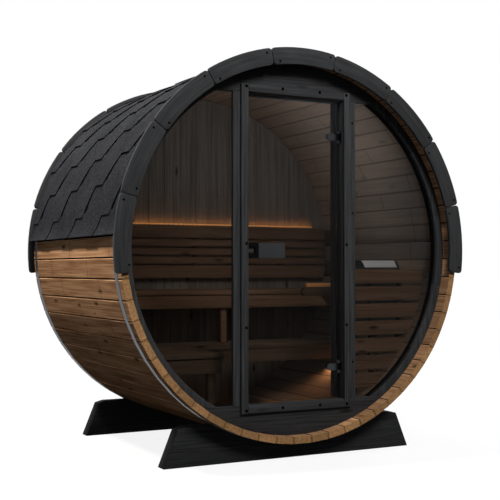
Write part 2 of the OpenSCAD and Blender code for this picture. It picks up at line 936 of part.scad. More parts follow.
roof_staves();
right_staves();
floor_staves();
left_staves();
front_hoop();
rear_hoop();
roof_underlay();
left_shingles();
right_shingles();
ridge_cap();
front_fascia();
rear_fascia();
front_cradle();
rear_cradle();
front_header();
front_sill();
left_window_ring();
right_window_ring();
left_glazing_ring();
right_glazing_ring();
left_post();
right_post();
door_frame();
left_window();
right_window();
back_wall();
upper_bench();
upper_bench_frame();
lower_bench();
lower_bench_frame();
backrest();
backrest_battens();
light_strip();
heater_guard();
guard_posts();
heater();
heater_hood();
heater_rail();
upper_hinge_plate();
lower_hinge_plate();
upper_hinge_clamp();
lower_hinge_clamp();
door_glass();
door_handle();
door_catch();
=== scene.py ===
import json
import math

import bmesh
import bpy
from mathutils import Matrix, Vector

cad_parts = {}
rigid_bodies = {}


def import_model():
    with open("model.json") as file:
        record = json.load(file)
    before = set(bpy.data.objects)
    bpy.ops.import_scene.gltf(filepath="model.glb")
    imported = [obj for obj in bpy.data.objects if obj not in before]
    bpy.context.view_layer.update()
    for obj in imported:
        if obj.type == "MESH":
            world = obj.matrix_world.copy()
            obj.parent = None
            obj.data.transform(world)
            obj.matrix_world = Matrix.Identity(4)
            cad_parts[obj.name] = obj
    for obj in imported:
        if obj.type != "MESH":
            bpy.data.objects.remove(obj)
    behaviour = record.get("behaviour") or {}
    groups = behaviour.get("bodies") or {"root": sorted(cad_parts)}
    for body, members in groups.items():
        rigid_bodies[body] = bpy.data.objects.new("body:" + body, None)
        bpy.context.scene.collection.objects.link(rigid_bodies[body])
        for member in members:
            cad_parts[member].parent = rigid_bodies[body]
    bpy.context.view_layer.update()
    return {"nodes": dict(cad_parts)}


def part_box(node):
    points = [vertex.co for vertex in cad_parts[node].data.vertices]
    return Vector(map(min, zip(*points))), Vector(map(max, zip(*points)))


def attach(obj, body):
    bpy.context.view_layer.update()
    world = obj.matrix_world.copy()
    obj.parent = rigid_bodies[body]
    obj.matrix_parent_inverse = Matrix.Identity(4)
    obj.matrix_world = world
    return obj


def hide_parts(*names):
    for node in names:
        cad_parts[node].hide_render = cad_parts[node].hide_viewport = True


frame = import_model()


# Cradles: two spruce planks stained black, each with slanting ends and a hollow sawn to the barrel.
# Their sharp edges are eased with a plane, and they stand on the ground under the barrel's own weight.
def linear(hex_colour):
    """An sRGB hex colour as the linear colour that a socket takes."""
    parts = [int(hex_colour[i:i + 2], 16) / 255 for i in (1, 3, 5)]
    return [c / 12.92 if c <= 0.04045 else ((c + 0.055) / 1.055) ** 2.4 for c in parts] + [1]


def put(tree, kind, links=None, stops=(), **settings):
    """Adds a node with its settings, links or sets its inputs, and places the colours of a ramp."""
    node = tree.nodes.new("ShaderNode" + kind)
    for name, value in settings.items():
        setattr(node, name, value)
    for i, (position, colour) in enumerate(stops):
        node.color_ramp.elements[i].position = position
        node.color_ramp.elements[i].color = linear(colour)
    for socket, value in (links or {}).items():
        if isinstance(value, bpy.types.NodeSocket):
            tree.links.new(value, node.inputs[socket])
        else:
            node.inputs[socket].default_value = value
    return node


def new_material(name):
    """An empty material, with its tree, its shader and its place on the piece in metres."""
    material = bpy.data.materials.new(name)
    material.use_nodes = True
    tree = material.node_tree
    return material, tree, tree.nodes["Principled BSDF"], put(tree, "TexCoord").outputs["Object"]


def pick(piece, test):
    """Selects in edit mode the faces whose centre and normal pass a test."""
    mesh = bmesh.from_edit_mesh(piece.data)
    for face in mesh.faces:
        face.select_set(False)
    for face in mesh.faces:
        if test(face.calc_center_median(), face.normal):
            face.select_set(True)
    bmesh.update_edit_mesh(piece.data)


def start_edit(piece):
    """Makes a piece the only one selected, and opens it in edit mode with all of it selected."""
    bpy.ops.object.select_all(action="DESELECT")
    piece.select_set(True)
    bpy.context.view_layer.objects.active = piece
    bpy.ops.object.mode_set(mode="EDIT")
    bpy.ops.mesh.select_all(action="SELECT")


def boards_of(node, name):
    """The boards of a node as a new piece, with their loose triangles joined into whole faces."""
    piece = bpy.data.objects.new(name, frame["nodes"][node].data.copy())
    bpy.context.scene.collection.objects.link(piece)
    piece.data.materials.clear()
    start_edit(piece)
    bpy.ops.mesh.customdata_custom_splitnormals_clear()
    bpy.ops.mesh.remove_doubles(threshold=0.00002)
    bpy.ops.mesh.dissolve_limited(angle_limit=math.radians(0.4))
    bpy.ops.object.mode_set(mode="OBJECT")
    return piece


def ease(piece, radius, segments=2):
    """Rounds the sharp edges of a piece, as sandpaper or a plane does."""
    bpy.ops.object.select_all(action="DESELECT")
    piece.select_set(True)
    bpy.context.view_layer.objects.active = piece
    bevel = piece.modifiers.new("eased", "BEVEL")
    bevel.limit_method = "ANGLE"
    bevel.angle_limit = math.radians(30)
    bevel.width = radius
    bevel.segments = segments
    bpy.ops.object.modifier_apply(modifier="eased")
    bpy.ops.object.shade_smooth_by_angle(angle=math.radians(35))


def fix(piece, material, body, slot, *nodes):
    """Gives a piece its material and its body, and hides the nodes that it stands for. The slot is not
    used.
    """
    piece.data.materials.clear()
    piece.data.materials.append(material)
    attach(piece, body)
    if nodes:
        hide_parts(*nodes)


def stained_spruce(name, along, light, dark):
    """Spruce under a thin black stain: the late wood stays darker, knots show, and the gloss is weak.
    Real grain lines are 2 to 4 mm apart, and are drawn 9 mm apart so that they show at this distance."""
    material, tree, shader, place = new_material(name)
    board = put(tree, "NewGeometry").outputs["Random Per Island"]
    shift = put(tree, "VectorMath", {0: (7.3, 4.1, 9.7), "Scale": board}, operation="SCALE").outputs[0]
    place = put(tree, "VectorMath", {0: place, 1: shift}, operation="ADD").outputs[0]
    fine = [1 / 0.35 if axis == along else 1 / 0.009 for axis in "XYZ"]
    wide = [1 / 0.9 if axis == along else 1 / 0.06 for axis in "XYZ"]
    knotty = [1 / 0.6 if axis == along else 1 / 0.14 for axis in "XYZ"]
    fine = put(tree, "Mapping", {"Vector": place, "Scale": fine}).outputs[0]
    wide = put(tree, "Mapping", {"Vector": place, "Scale": wide}).outputs[0]
    knotty = put(tree, "Mapping", {"Vector": place, "Scale": knotty}).outputs[0]
    grain = put(tree, "TexNoise", {"Vector": fine, "Scale": 1.0, "Detail": 5.0, "Roughness": 0.6,
                "Distortion": 0.3}).outputs["Fac"]
    cloud = put(tree, "TexNoise", {"Vector": wide, "Scale": 1.0, "Detail": 3.0}).outputs["Fac"]
    knot = put(tree, "TexVoronoi", {"Vector": knotty, "Scale": 1.0}).outputs["Distance"]
    # Sawn ends drink more stain, so faces across the grain are darker, and they are darkened further as
    # painted shade.
    ends = put(tree, "SeparateXYZ", {0: put(tree, "TexCoord").outputs["Normal"]})
    ends = put(tree, "Math", {0: ends.outputs["XYZ".index(along)]}, operation="ABSOLUTE").outputs[0]
    colour = put(tree, "ValToRGB", {"Fac": grain}, [(0.34, dark), (0.66, light)]).outputs["Color"]
    for value, low, high, least, most in ((board, 0.0, 1.0, 0.9, 1.1), (cloud, 0.3, 0.7, 0.86, 1.14),
                                          (knot, 0.035, 0.1, 0.35, 1.0), (ends, 0.5, 0.7, 1.0, 0.3)):
        tone = put(tree, "MapRange", {"Value": value, "From Min": low, "From Max": high, "To Min": least,
                   "To Max": most}).outputs["Result"]
        colour = put(tree, "VectorMath", {0: colour, "Scale": tone}, operation="SCALE").outputs[0]
    tree.links.new(colour, shader.inputs["Base Color"])
    gloss = put(tree, "MapRange", {"Value": grain, "To Min": 0.62, "To Max": 0.48}).outputs["Result"]
    tree.links.new(gloss, shader.inputs["Roughness"])
    shader.inputs["Specular IOR Level"].default_value = 0.02
    relief = put(tree, "Bump", {"Height": grain, "Strength": 0.5, "Distance": 0.0008}).outputs["Normal"]
    tree.links.new(relief, shader.inputs["Normal"])
    return material


# The cradle planks are drawn darker than the stained boards of the front wall, as painted shade under the
# barrel.
shaded_plank_wood = stained_spruce("Spruce stained black, cradle planks", "X", "#373839", "#222223")
for node in ("front_cradle", "rear_cradle"):
    cradle = boards_of(node, node + "_plank")
    ease(cradle, 0.004)
    fix(cradle, shaded_plank_wood, "shell", "black_wood", node)


# Barrel: sixty staves of heat-treated spruce, planed to a taper and bevelled along their outer edges.
# Short lengths are glued end to end, so fine lines cross the staves, and the sawn ends are paler.
def heat_treated(name, along, light, dark, spread, lines=0.008):
    """Heat-treated wood: honey-brown early wood, darker late wood and small dark knots, without gloss.
    Real grain lines are 2 to 4 mm apart, and are drawn 8 mm apart or more so that they show from here.
    Gives the material, its tree and shader, the shifted place, the tone of each board, and the colour."""
    material, tree, shader, place = new_material(name)
    board = put(tree, "NewGeometry").outputs["Random Per Island"]
    shift = put(tree, "VectorMath", {0: (5.9, 8.3, 3.7), "Scale": board}, operation="SCALE").outputs[0]
    place = put(tree, "VectorMath", {0: place, 1: shift}, operation="ADD").outputs[0]
    fine = [1 / 0.5 if axis == along else 1 / lines for axis in "XYZ"]
    wide = [1 / 0.5 if axis == along else 1 / 0.04 for axis in "XYZ"]
    knotty = [1 / 0.3 if axis == along else 1 / 0.1 for axis in "XYZ"]
    fine = put(tree, "Mapping", {"Vector": place, "Scale": fine}).outputs[0]
    wide = put(tree, "Mapping", {"Vector": place, "Scale": wide}).outputs[0]
    knotty = put(tree, "Mapping", {"Vector": place, "Scale": knotty}).outputs[0]
    grain = put(tree, "TexNoise", {"Vector": fine, "Scale": 1.0, "Detail": 5.0, "Roughness": 0.65,
                "Distortion": 0.2}).outputs["Fac"]
    cloud = put(tree, "TexNoise", {"Vector": wide, "Scale": 1.0, "Detail": 4.0,
                "Distortion": 0.3}).outputs["Fac"]
    knot = put(tree, "TexVoronoi", {"Vector": knotty, "Scale": 1.0}).outputs["Distance"]
    mixed = put(tree, "Math", {0: grain, 1: 0.65}, operation="MULTIPLY").outputs[0]
    mixed = put(tree, "Math", {0: cloud, 1: 0.35, 2: mixed}, operation="MULTIPLY_ADD").outputs[0]
    colour = put(tree, "ValToRGB", {"Fac": mixed}, [(0.36, dark), (0.6, light)]).outputs["Color"]
    tone = put(tree, "MapRange", {"Value": board, "To Min": 1 - spread,
               "To Max": 1 + spread}).outputs["Result"]
    dim = put(tree, "MapRange", {"Value": knot, "From Min": 0.06, "From Max": 0.15, "To Min": 0.25,
              "To Max": 1.0}).outputs["Result"]
    colour = put(tree, "VectorMath", {0: colour, "Scale": tone}, operation="SCALE").outputs[0]
    colour = put(tree, "VectorMath", {0: colour, "Scale": dim}, operation="SCALE").outputs[0]
    tree.links.new(colour, shader.inputs["Base Color"])
    shader.inputs["Roughness"].default_value = 0.7
    shader.inputs["Specular IOR Level"].default_value = 0.0
    relief = put(tree, "Bump", {"Height": grain, "Strength": 0.4, "Distance": 0.0006}).outputs["Normal"]
    tree.links.new(relief, shader.inputs["Normal"])
    return material, tree, shader, place, tone, colour


# The fascia bends round the axis of the barrel, so its top is as far from the axis as its sides are.
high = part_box("front_fascia")[1]
axis_height = high.z - high.x
stave_turn, stave_width, glue_spacing = math.radians(6), 0.108, 0.62
room_radius, painted_daylight_grey = 1.002, 0.7
stave_wood, tree, shader, place, tone, colour = heat_treated("Heat-treated spruce, planed staves", "Y",
                                                             "#c0956f", "#7c5537", 0.2)
coords = put(tree, "TexCoord")
parts = put(tree, "SeparateXYZ", {0: coords.outputs["Object"]})
rise = put(tree, "Math", {0: parts.outputs[2], 1: axis_height}, operation="SUBTRACT").outputs[0]
# The room side, behind the glass, is smoother than the outside, and is greyed as painted cool daylight
# coming through the glass.
radius = put(tree, "CombineXYZ", {0: parts.outputs[0], 1: rise}).outputs[0]
radius = put(tree, "VectorMath", {0: radius}, operation="LENGTH").outputs["Value"]
inside = put(tree, "Math", {0: radius, 1: room_radius}, operation="LESS_THAN").outputs[0]
glass_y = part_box("left_window")[0].y
behind = put(tree, "Math", {0: parts.outputs[1], 1: glass_y}, operation="GREATER_THAN").outputs[0]
inside = put(tree, "Math", {0: inside, 1: behind}, operation="MULTIPLY").outputs[0]
daylight_greying = put(tree, "Math", {0: inside, 1: painted_daylight_grey}, operation="MULTIPLY").outputs[0]
colour = put(tree, "Mix", {0: daylight_greying, 6: colour, 7: linear("#7b6d60")}, data_type="RGBA").outputs[2]
# Glue lines cross each stave. They are 0.3 mm wide, and are drawn 5 mm wide so that they show.
run = put(tree, "SeparateXYZ", {0: place}).outputs[1]
run = put(tree, "Math", {0: run, 1: glue_spacing}, operation="FLOORED_MODULO").outputs[0]
glue = put(tree, "MapRange", {"Value": run, "From Min": 0.004, "From Max": 0.006,
           "To Min": 0.35}).outputs["Result"]
colour = put(tree, "VectorMath", {0: colour, "Scale": glue}, operation="SCALE").outputs[0]
# The sawn ends look towards the front and the back: short pores in place of long grain.
facing = put(tree, "SeparateXYZ", {0: coords.outputs["Normal"]}).outputs[1]
facing = put(tree, "Math", {0: facing}, operation="ABSOLUTE").outputs[0]
facing = put(tree, "Math", {0: facing, 1: 0.8}, operation="GREATER_THAN").outputs[0]
pores = put(tree, "TexNoise", {"Vector": place, "Scale": 1 / 0.012, "Detail": 4.0,
            "Roughness": 0.7}).outputs["Fac"]
end_grain = put(tree, "ValToRGB", {"Fac": pores}, [(0.3, "#86603d"), (0.7, "#b98f63")]).outputs["Color"]
end_grain = put(tree, "VectorMath", {0: end_grain, "Scale": tone}, operation="SCALE").outputs[0]
colour = put(tree, "Mix", {0: facing, 6: colour, 7: end_grain}, data_type="RGBA").outputs[2]
# Dust and painted shade darken the lower bevel of the V between two staves, and on the outside a painted
# highlight lightens the upper bevel below it. The turn round the axis is counted in staves, and sixty more
# keep it above zero.
turn = put(tree, "Math", {0: parts.outputs[0], 1: rise}, operation="ARCTAN2").outputs[0]
turn = put(tree, "Math", {0: turn, 1: 1 / stave_turn, 2: 60.5}, operation="MULTIPLY_ADD").outputs[0]
turn = put(tree, "Math", {0: turn}, operation="FRACT").outputs[0]
turn = put(tree, "Math", {0: turn, 1: 0.5}, operation="SUBTRACT").outputs[0]
side = put(tree, "Math", {0: parts.outputs[0]}, operation="SIGN").outputs[0]
turn = put(tree, "Math", {0: turn, 1: side}, operation="MULTIPLY").outputs[0]
plain = put(tree, "Math", {0: facing, 1: inside}, operation="MAXIMUM").outputs[0]
least = put(tree, "MapRange", {"Value": plain, "To Min": 0.04, "To Max": 0.5}).outputs["Result"]
most = put(tree, "MapRange", {"Value": plain, "To Min": 1.5, "To Max": 0.8}).outputs["Result"]
dust_and_shade = put(tree, "MapRange", {"Value": turn, "From Min": 0.5 - 0.008 / stave_width,
           "From Max": 0.5 - 0.0065 / stave_width, "To Min": 1.0, "To Max": least}).outputs["Result"]
painted_highlight = put(tree, "MapRange", {"Value": turn, "From Min": -0.5 + 0.0036 / stave_width,
            "From Max": -0.5 + 0.005 / stave_width, "To Min": most, "To Max": 1.0}).outputs["Result"]
colour = put(tree, "VectorMath", {0: colour, "Scale": dust_and_shade}, operation="SCALE").outputs[0]
colour = put(tree, "VectorMath", {0: colour, "Scale": painted_highlight}, operation="SCALE").outputs[0]
tree.links.new(colour, shader.inputs["Base Color"])
for node in ("roof_staves", "right_staves", "floor_staves", "left_staves"):
    fix(boards_of(node, node + "_planed"), stave_wood, "shell", "thermowood", node)


# Hoops: two bands of galvanised strip steel round the staves, each drawn tight by a bolt through two lugs.
# The bolt carries a nut and a washer at each end.

# Zinc crystals 15 mm wide show as lighter and darker patches of grey with a dull gloss.
galvanised, tree, shader, place = new_material("Galvanised strip steel, rolled")
spangle = put(tree, "TexVoronoi", {"Vector": place, "Scale": 1 / 0.015}).outputs["Color"]
spangle = put(tree, "SeparateColor", {0: spangle}).outputs[0]
colour = put(tree, "ValToRGB", {"Fac": spangle}, [(0.0, "#3e4246"), (1.0, "#54595e")]).outputs["Color"]
tree.links.new(colour, shader.inputs["Base Color"])
gloss = put(tree, "MapRange", {"Value": spangle, "To Min": 0.38, "To Max": 0.52}).outputs["Result"]
tree.links.new(gloss, shader.inputs["Roughness"])
shader.inputs["Metallic"].default_value = 1.0


def joined(pieces, name):
    """Joins pieces into one, with its faces turned outwards and smooth shading up to 35 degrees."""
    bpy.ops.object.select_all(action="DESELECT")
    for piece in pieces:
        piece.select_set(True)
    bpy.context.view_layer.objects.active = pieces[0]
    if len(pieces) > 1:
        bpy.ops.object.join()
    pieces[0].name = name
    start_edit(pieces[0])
    bpy.ops.mesh.normals_make_consistent(inside=False)
    bpy.ops.object.mode_set(mode="OBJECT")
    bpy.ops.object.shade_smooth_by_angle(angle=math.radians(35))
    return pieces[0]


tensioner = math.radians(135)
out = Vector((math.sin(tensioner), 0, math.cos(tensioner)))
along = Vector((math.cos(tensioner), 0, -math.sin(tensioner)))
bolt_r, nut_out, nut_r, nut_h = 1.0458, 0.0452, 0.0098, 0.008
washer_t, washer_wider = 0.002, 1.25
for node in ("front_hoop", "rear_hoop"):
    fix(boards_of(node, node + "_band"), galvanised, "shell", "galvanised_steel", node)
    low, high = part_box(node)
    bolt_at = Vector((0, (low.y + high.y) / 2, axis_height)) + out * bolt_r
    nuts = []
    for side in (-1, 1):
        bpy.ops.object.select_all(action="DESELECT")
        bpy.ops.mesh.primitive_cylinder_add(vertices=6, radius=nut_r, depth=nut_h)
        nut = bpy.context.object
        bpy.ops.object.mode_set(mode="EDIT")
        pick(nut, lambda centre, normal: normal.z < -0.9)
        bpy.ops.mesh.extrude_region_move(TRANSFORM_OT_translate={"value": (0, 0, 0)})
        bpy.ops.transform.resize(value=(washer_wider, washer_wider, 1), center_override=(0, 0, 0))
        bpy.ops.mesh.extrude_region_move(TRANSFORM_OT_translate={"value": (0, 0, -washer_t)})
        bpy.ops.object.mode_set(mode="OBJECT")
        turn = Vector((0, 0, 1)).rotation_difference(along * side).to_matrix().to_4x4()
        nut.data.transform(Matrix.Translation(bolt_at + along * side * nut_out) @ turn)
        nuts.append(nut)
    pair = joined(nuts, node + "_nuts")
    ease(pair, 0.0006, 1)
    fix(pair, galvanised, "shell", "galvanised_steel")


# Front wall: black stained boards above and below the opening, a curved frame sawn from five boards round
# each window, and two door posts rebated for the panes. All are screwed from behind.
black_across = stained_spruce("Spruce stained black, grain across the front", "X", "#444546", "#2c2c2d")
black_upright = stained_spruce("Spruce stained black, grain upright", "Z", "#444546", "#2c2c2d")
for node, wood in (("front_header", black_across), ("front_sill", black_across),
                   ("left_window_ring", black_upright), ("right_window_ring", black_upright),
                   ("left_post", black_upright), ("right_post", black_upright)):
    panel = boards_of(node, node + "_boards")
    ease(panel, 0.002)
    fix(panel, wood, "shell", "black_wood", node)
# The glazing rings are drawn nearly black, as painted shade inside the curved frames.
shaded_glazing_wood = heat_treated("Heat-treated spruce, glazing rings oiled dark", "Z", "#2e2823", "#1d1916",
                          0.1)[0]
for node in ("left_glazing_ring", "right_glazing_ring"):
    ring = boards_of(node, node + "_boards")
    ease(ring, 0.002)
    fix(ring, shaded_glazing_wood, "shell", "thermowood", node)


# Door frame: four planted strips round the doorway and a lining inside it, stained black.
# The head and the threshold are cut between the uprights, and dark steel screws hold all of them.
uprights = boards_of("door_frame", "door_frame_uprights")
start_edit(uprights)
pick(uprights, lambda centre, normal: abs(centre.x) < 0.1)
bpy.ops.mesh.select_linked()
bpy.ops.mesh.separate(type="SELECTED")
bpy.ops.object.mode_set(mode="OBJECT")
crosspieces = [piece for piece in bpy.context.selected_objects if piece != uprights][0]
crosspieces.name = "door_frame_head_and_threshold"
ease(uprights, 0.003)
ease(crosspieces, 0.003)
fix(uprights, black_upright, "shell", "black_wood", "door_frame")
fix(crosspieces, black_across, "shell", "black_wood", "door_frame")


def screws(name, places, facing, radius):
    """Sunk screw heads with a recess, at places on a face that looks along Y."""
    head_t, recess = 0.0016, 0.0005
    bpy.ops.object.select_all(action="DESELECT")
    bpy.ops.mesh.primitive_cylinder_add(vertices=12, radius=radius, depth=head_t)
    head = bpy.context.object
    bpy.ops.object.mode_set(mode="EDIT")
    pick(head, lambda centre, normal: normal.z > 0.9)
    bpy.ops.mesh.inset(thickness=0.25 * radius)
    bpy.ops.mesh.inset(thickness=0.2 * radius)
    bpy.ops.mesh.extrude_region_move(TRANSFORM_OT_translate={"value": (0, 0, -recess)})
    bpy.ops.object.mode_set(mode="OBJECT")
    head.data.transform(Matrix.Rotation(math.radians(90) * -facing, 4, "X"))
    copies = []
    for spot in places:
        copy = bpy.data.objects.new(name, head.data.copy())
        bpy.context.scene.collection.objects.link(copy)
        copy.data.transform(Matrix.Translation(Vector(spot)))
        copies.append(copy)
    bpy.data.objects.remove(head)
    return joined(copies, name)


def speckled(name, size, detail, stops):
    """A coated surface with specks of one size. Gives the material, its tree and shader, and the specks."""
    material, tree, shader, place = new_material(name)
    specks = put(tree, "TexNoise", {"Vector": place, "Scale": 1 / size, "Detail": detail}).outputs["Fac"]
    colour = put(tree, "ValToRGB", {"Fac": specks}, stops).outputs["Color"]
    tree.links.new(colour, shader.inputs["Base Color"])
    return material, tree, shader, specks


# Phosphate crystals swallow the light, so the heads are matt black dots.
screw_steel, _, shader, _ = speckled("Black phosphated screw steel", 0.002, 2.0,
                                     [(0.0, "#030303"), (1.0, "#0c0c0c")])
shader.inputs["Roughness"].default_value = 0.6
shader.inputs["Specular IOR Level"].default_value = 0.0

# The screws are placed from the middle of the doorway and from the axis of the barrel.
upright_x, upright_ups = 0.311, (0.848, 0.025, -0.414, -0.845)
crosspiece_xs, crosspiece_ups = (-0.093, 0.139), (0.85, -0.842)
post_x, post_ups = 0.362, (0.70, 0.2, -0.62)
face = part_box("door_frame")[0].y
spots = [(side * upright_x, face, axis_height + up) for side in (-1, 1) for up in upright_ups]
spots += [(x, face, axis_height + up) for x in crosspiece_xs for up in crosspiece_ups]
fix(screws("door_frame_screws", spots, -1, 0.0085), screw_steel, "shell", "black_wood")
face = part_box("left_post")[0].y
spots = [(post_x, face, axis_height + up) for up in post_ups]
fix(screws("right_post_screws", spots, -1, 0.006), screw_steel, "shell", "black_wood")


# Glass: two fixed panes cut to the circle and the door pane, all of grey tinted toughened glass.
# The edges are ground, and the fixed panes sit between the two curved frames.

# The grey skin takes the mirror image away when looked at squarely, and at a flat angle the pane gleams.
# Light from lamps and from the wood passes the panes by a transparent shader that only those rays meet.
grey_glass, tree, shader, _ = new_material("Grey tinted toughened glass")
shader.inputs["Base Color"].default_value = linear("#cccbc9")
shader.inputs["Roughness"].default_value = 0.0
shader.inputs["IOR"].default_value = 1.5
shader.inputs["Transmission Weight"].default_value = 1.0
slant = put(tree, "LayerWeight", {"Blend": 0.5}).outputs["Facing"]
gleam = put(tree, "ValToRGB", {0: slant}, ((0.25, "#222222"), (0.9, "#9a9a9a")))
tree.links.new(gleam.outputs["Color"], shader.inputs["Specular Tint"])
through = put(tree, "BsdfTransparent", {"Color": linear("#d6d5d4")})
path = put(tree, "LightPath")
light_ray = put(tree, "Math", {0: path.outputs["Is Shadow Ray"], 1: path.outputs["Is Diffuse Ray"]},
                operation="MAXIMUM").outputs[0]
pane_mix = put(tree, "MixShader", {0: light_ray, 1: shader.outputs[0], 2: through.outputs[0]})
tree.links.new(pane_mix.outputs[0], tree.nodes["Material Output"].inputs["Surface"])
for node, body in (("left_window", "shell"), ("right_window", "shell"), ("door_glass", "door")):
    pane = boards_of(node, node + "_pane")
    ease(pane, 0.001, 1)
    fix(pane, grey_glass, body, "tinted_glass", node)


# Hinges: two glass-door hinges cast in zinc and plated in dark satin nickel. A plate with two knuckles is
# screwed to the post, and two rounded plates clamp the glass.

# Plating on a blasted casting gives a soft, uneven gloss on dark grey.
satin_nickel, tree, shader, specks = speckled("Dark satin nickel on zinc casting", 0.003, 3.0,
                                              [(0.3, "#2b2c2e"), (0.7, "#3b3c3f")])
shader.inputs["Metallic"].default_value = 1.0
gloss = put(tree, "MapRange", {"Value": specks, "To Min": 0.26, "To Max": 0.38}).outputs["Result"]
tree.links.new(gloss, shader.inputs["Roughness"])
for node, body in (("upper_hinge_plate", "shell"), ("lower_hinge_plate", "shell"),
                   ("upper_hinge_clamp", "door"), ("lower_hinge_clamp", "door")):
    hinge = boards_of(node, node + "_casting")
    ease(hinge, 0.001)
    fix(hinge, satin_nickel, body, "hinge_metal", node)


# Handle and catch: a grey lacquered aluminium block on each face of the door, beside a black nylon catch.
# Both clamp the glass, and the mouth of the catch takes a strike on the post.

# Powder lacquer dries to a fine orange-peel texture without a sharp highlight.
lacquer, tree, shader, specks = speckled("Grey lacquered aluminium, fine texture", 0.002, 3.0,
                                         [(0.3, "#2c2d2e"), (0.7, "#38393a")])
shader.inputs["Roughness"].default_value = 0.5
shader.inputs["Specular IOR Level"].default_value = 0.1
relief = put(tree, "Bump", {"Height": specks, "Strength": 0.3, "Distance": 0.0003}).outputs["Normal"]
tree.links.new(relief, shader.inputs["Normal"])
block = boards_of("door_handle", "door_handle_blocks")
ease(block, 0.0025, 3)
fix(block, lacquer, "door", "handle_grey", "door_handle")

# Glass fibres near the skin of the moulding leave it black with the faintest mottle.
nylon, _, shader, _ = speckled("Black glass-filled nylon, moulded", 0.0015, 2.0,
                               [(0.3, "#040404"), (0.7, "#0b0b0b")])
shader.inputs["Roughness"].default_value = 0.55
shader.inputs["Specular IOR Level"].default_value = 0.03
catch = boards_of("door_catch", "door_catch_body")
ease(catch, 0.0015)
fix(catch, nylon, "door", "catch_black", "door_catch")

# The strike is a grey tongue on the side of the left post, and ends 7 mm before the end of the mouth.
strike_l, strike_t, strike_h, strike_in = 0.042, 0.007, 0.016, 0.0063
low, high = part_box("door_catch")
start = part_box("left_post")[1].x
bpy.ops.object.select_all(action="DESELECT")
bpy.ops.mesh.primitive_cube_add(size=1)
strike = bpy.context.object
strike.name = "door_strike"
strike.data.transform(Matrix.Translation((start + strike_l / 2, low.y + strike_in, (low.z + high.z) / 2))
                      @ Matrix.Diagonal((strike_l, strike_t, strike_h, 1)))
ease(strike, 0.002, 3)
fix(strike, lacquer, "shell", "handle_grey")


# Back wall: eighteen upright tongue-and-groove boards of heat-treated spruce, cut to the circle.
# Each joint shows as a narrow V.

# The room side is drawn grey as painted cool daylight through the glass, and the oiled outside is as warm
# as the staves.
wall_wood, tree, shader, _, _, colour = heat_treated("Heat-treated spruce, wall boards", "Z",
                                                     "#7b6f62", "#5f554b", 0.05, 0.014)
low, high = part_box("back_wall")
depth = put(tree, "SeparateXYZ", {0: put(tree, "TexCoord").outputs["Object"]}).outputs[1]
outside = put(tree, "Math", {0: depth, 1: (low.y + high.y) / 2}, operation="GREATER_THAN").outputs[0]
oiled = put(tree, "VectorMath", {0: colour, 1: (1.6, 1.15, 0.75)}, operation="MULTIPLY").outputs[0]
colour = put(tree, "Mix", {0: outside, 6: colour, 7: oiled}, data_type="RGBA").outputs[2]
tree.links.new(colour, shader.inputs["Base Color"])
wall = boards_of("back_wall", "back_wall_boards")
ease(wall, 0.003, 1)
fix(wall, wall_wood, "shell", "thermowood", "back_wall")


# Benches, backrest, heater guard and rail: planed heat-treated boards with rounded edges on plain frames.
# They are screwed from below so that no metal touches the skin.
bench_wood = heat_treated("Heat-treated aspen, bench boards", "X", "#80614a", "#5e4633", 0.08)[0]
# The boards and frame of the lower bench are drawn darker than the upper bench, as painted shade.
shaded_step_wood = heat_treated("Heat-treated aspen, step boards darkened as painted shade", "X", "#6a5645", "#4f4034",
                         0.08)[0]
planed_off = 0.0022
for node, radius in (("upper_bench", 0.004), ("lower_bench", 0.004), ("upper_bench_frame", 0.003),
                     ("lower_bench_frame", 0.003), ("backrest", 0.0012), ("heater_guard", 0.0015)):
    piece = boards_of(node, node + "_boards")
    if node in ("backrest", "heater_guard"):
        # Each slat is planed along both edges, so that the gaps stay dark.
        start_edit(piece)
        for facing in (-1, 1):
            pick(piece, lambda centre, normal: normal.z * facing > 0.9)
            bpy.ops.transform.translate(value=(0, 0, -planed_off * facing))
        bpy.ops.object.mode_set(mode="OBJECT")
    ease(piece, radius, 3)
    fix(piece, shaded_step_wood if node.startswith("lower") else bench_wood, "shell", "bench_wood", node)
batten_wood = heat_treated("Heat-treated aspen, battens", "Z", "#836449", "#58412f", 0.08)[0]
# The guard posts are drawn nearly black, as painted shade behind the slats.
shaded_post_wood = heat_treated("Heat-treated aspen, guard posts darkened as painted shade", "Z", "#352a22", "#231b15",
                         0.08)[0]
for node, wood in (("backrest_battens", batten_wood), ("guard_posts", shaded_post_wood)):
    piece = boards_of(node, node + "_boards")
    ease(piece, 0.003)
    fix(piece, wood, "shell", "bench_wood", node)


def sawn_off(node, name, point, direction):
    """The boards of a node as a new piece, sawn off at a point and without what lies beyond it."""
    piece = boards_of(node, name)
    start_edit(piece)
    bpy.ops.mesh.bisect(plane_co=point, plane_no=direction, use_fill=True, clear_outer=True)
    bpy.ops.object.mode_set(mode="OBJECT")
    return piece


# The rail beside the heater has a board with a rounded nose under a bar of alder. The board is darkened as
# painted shade, and the bar is drawn pale orange as painted light from above.
bar_h = 0.022
cut_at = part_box("heater_rail")[1] - Vector((0, 0, bar_h))
bracket = sawn_off("heater_rail", "heater_rail_board", cut_at, (0, 0, 1))
bar = sawn_off("heater_rail", "heater_rail_bar", cut_at, (0, 0, -1))
ease(bracket, 0.003)
ease(bar, 0.003)
shaded_rail_wood = heat_treated("Heat-treated alder, rail board darkened as painted shade", "X", "#5a4534", "#443328", 0.05)[0]
lit_rail_wood = heat_treated("Alder, rail bar lightened as painted light", "X", "#e9a866", "#cd8b4e", 0.05)[0]
fix(bracket, shaded_rail_wood, "shell", "bench_wood", "heater_rail")
fix(bar, lit_rail_wood, "shell", "bench_wood", "heater_rail")


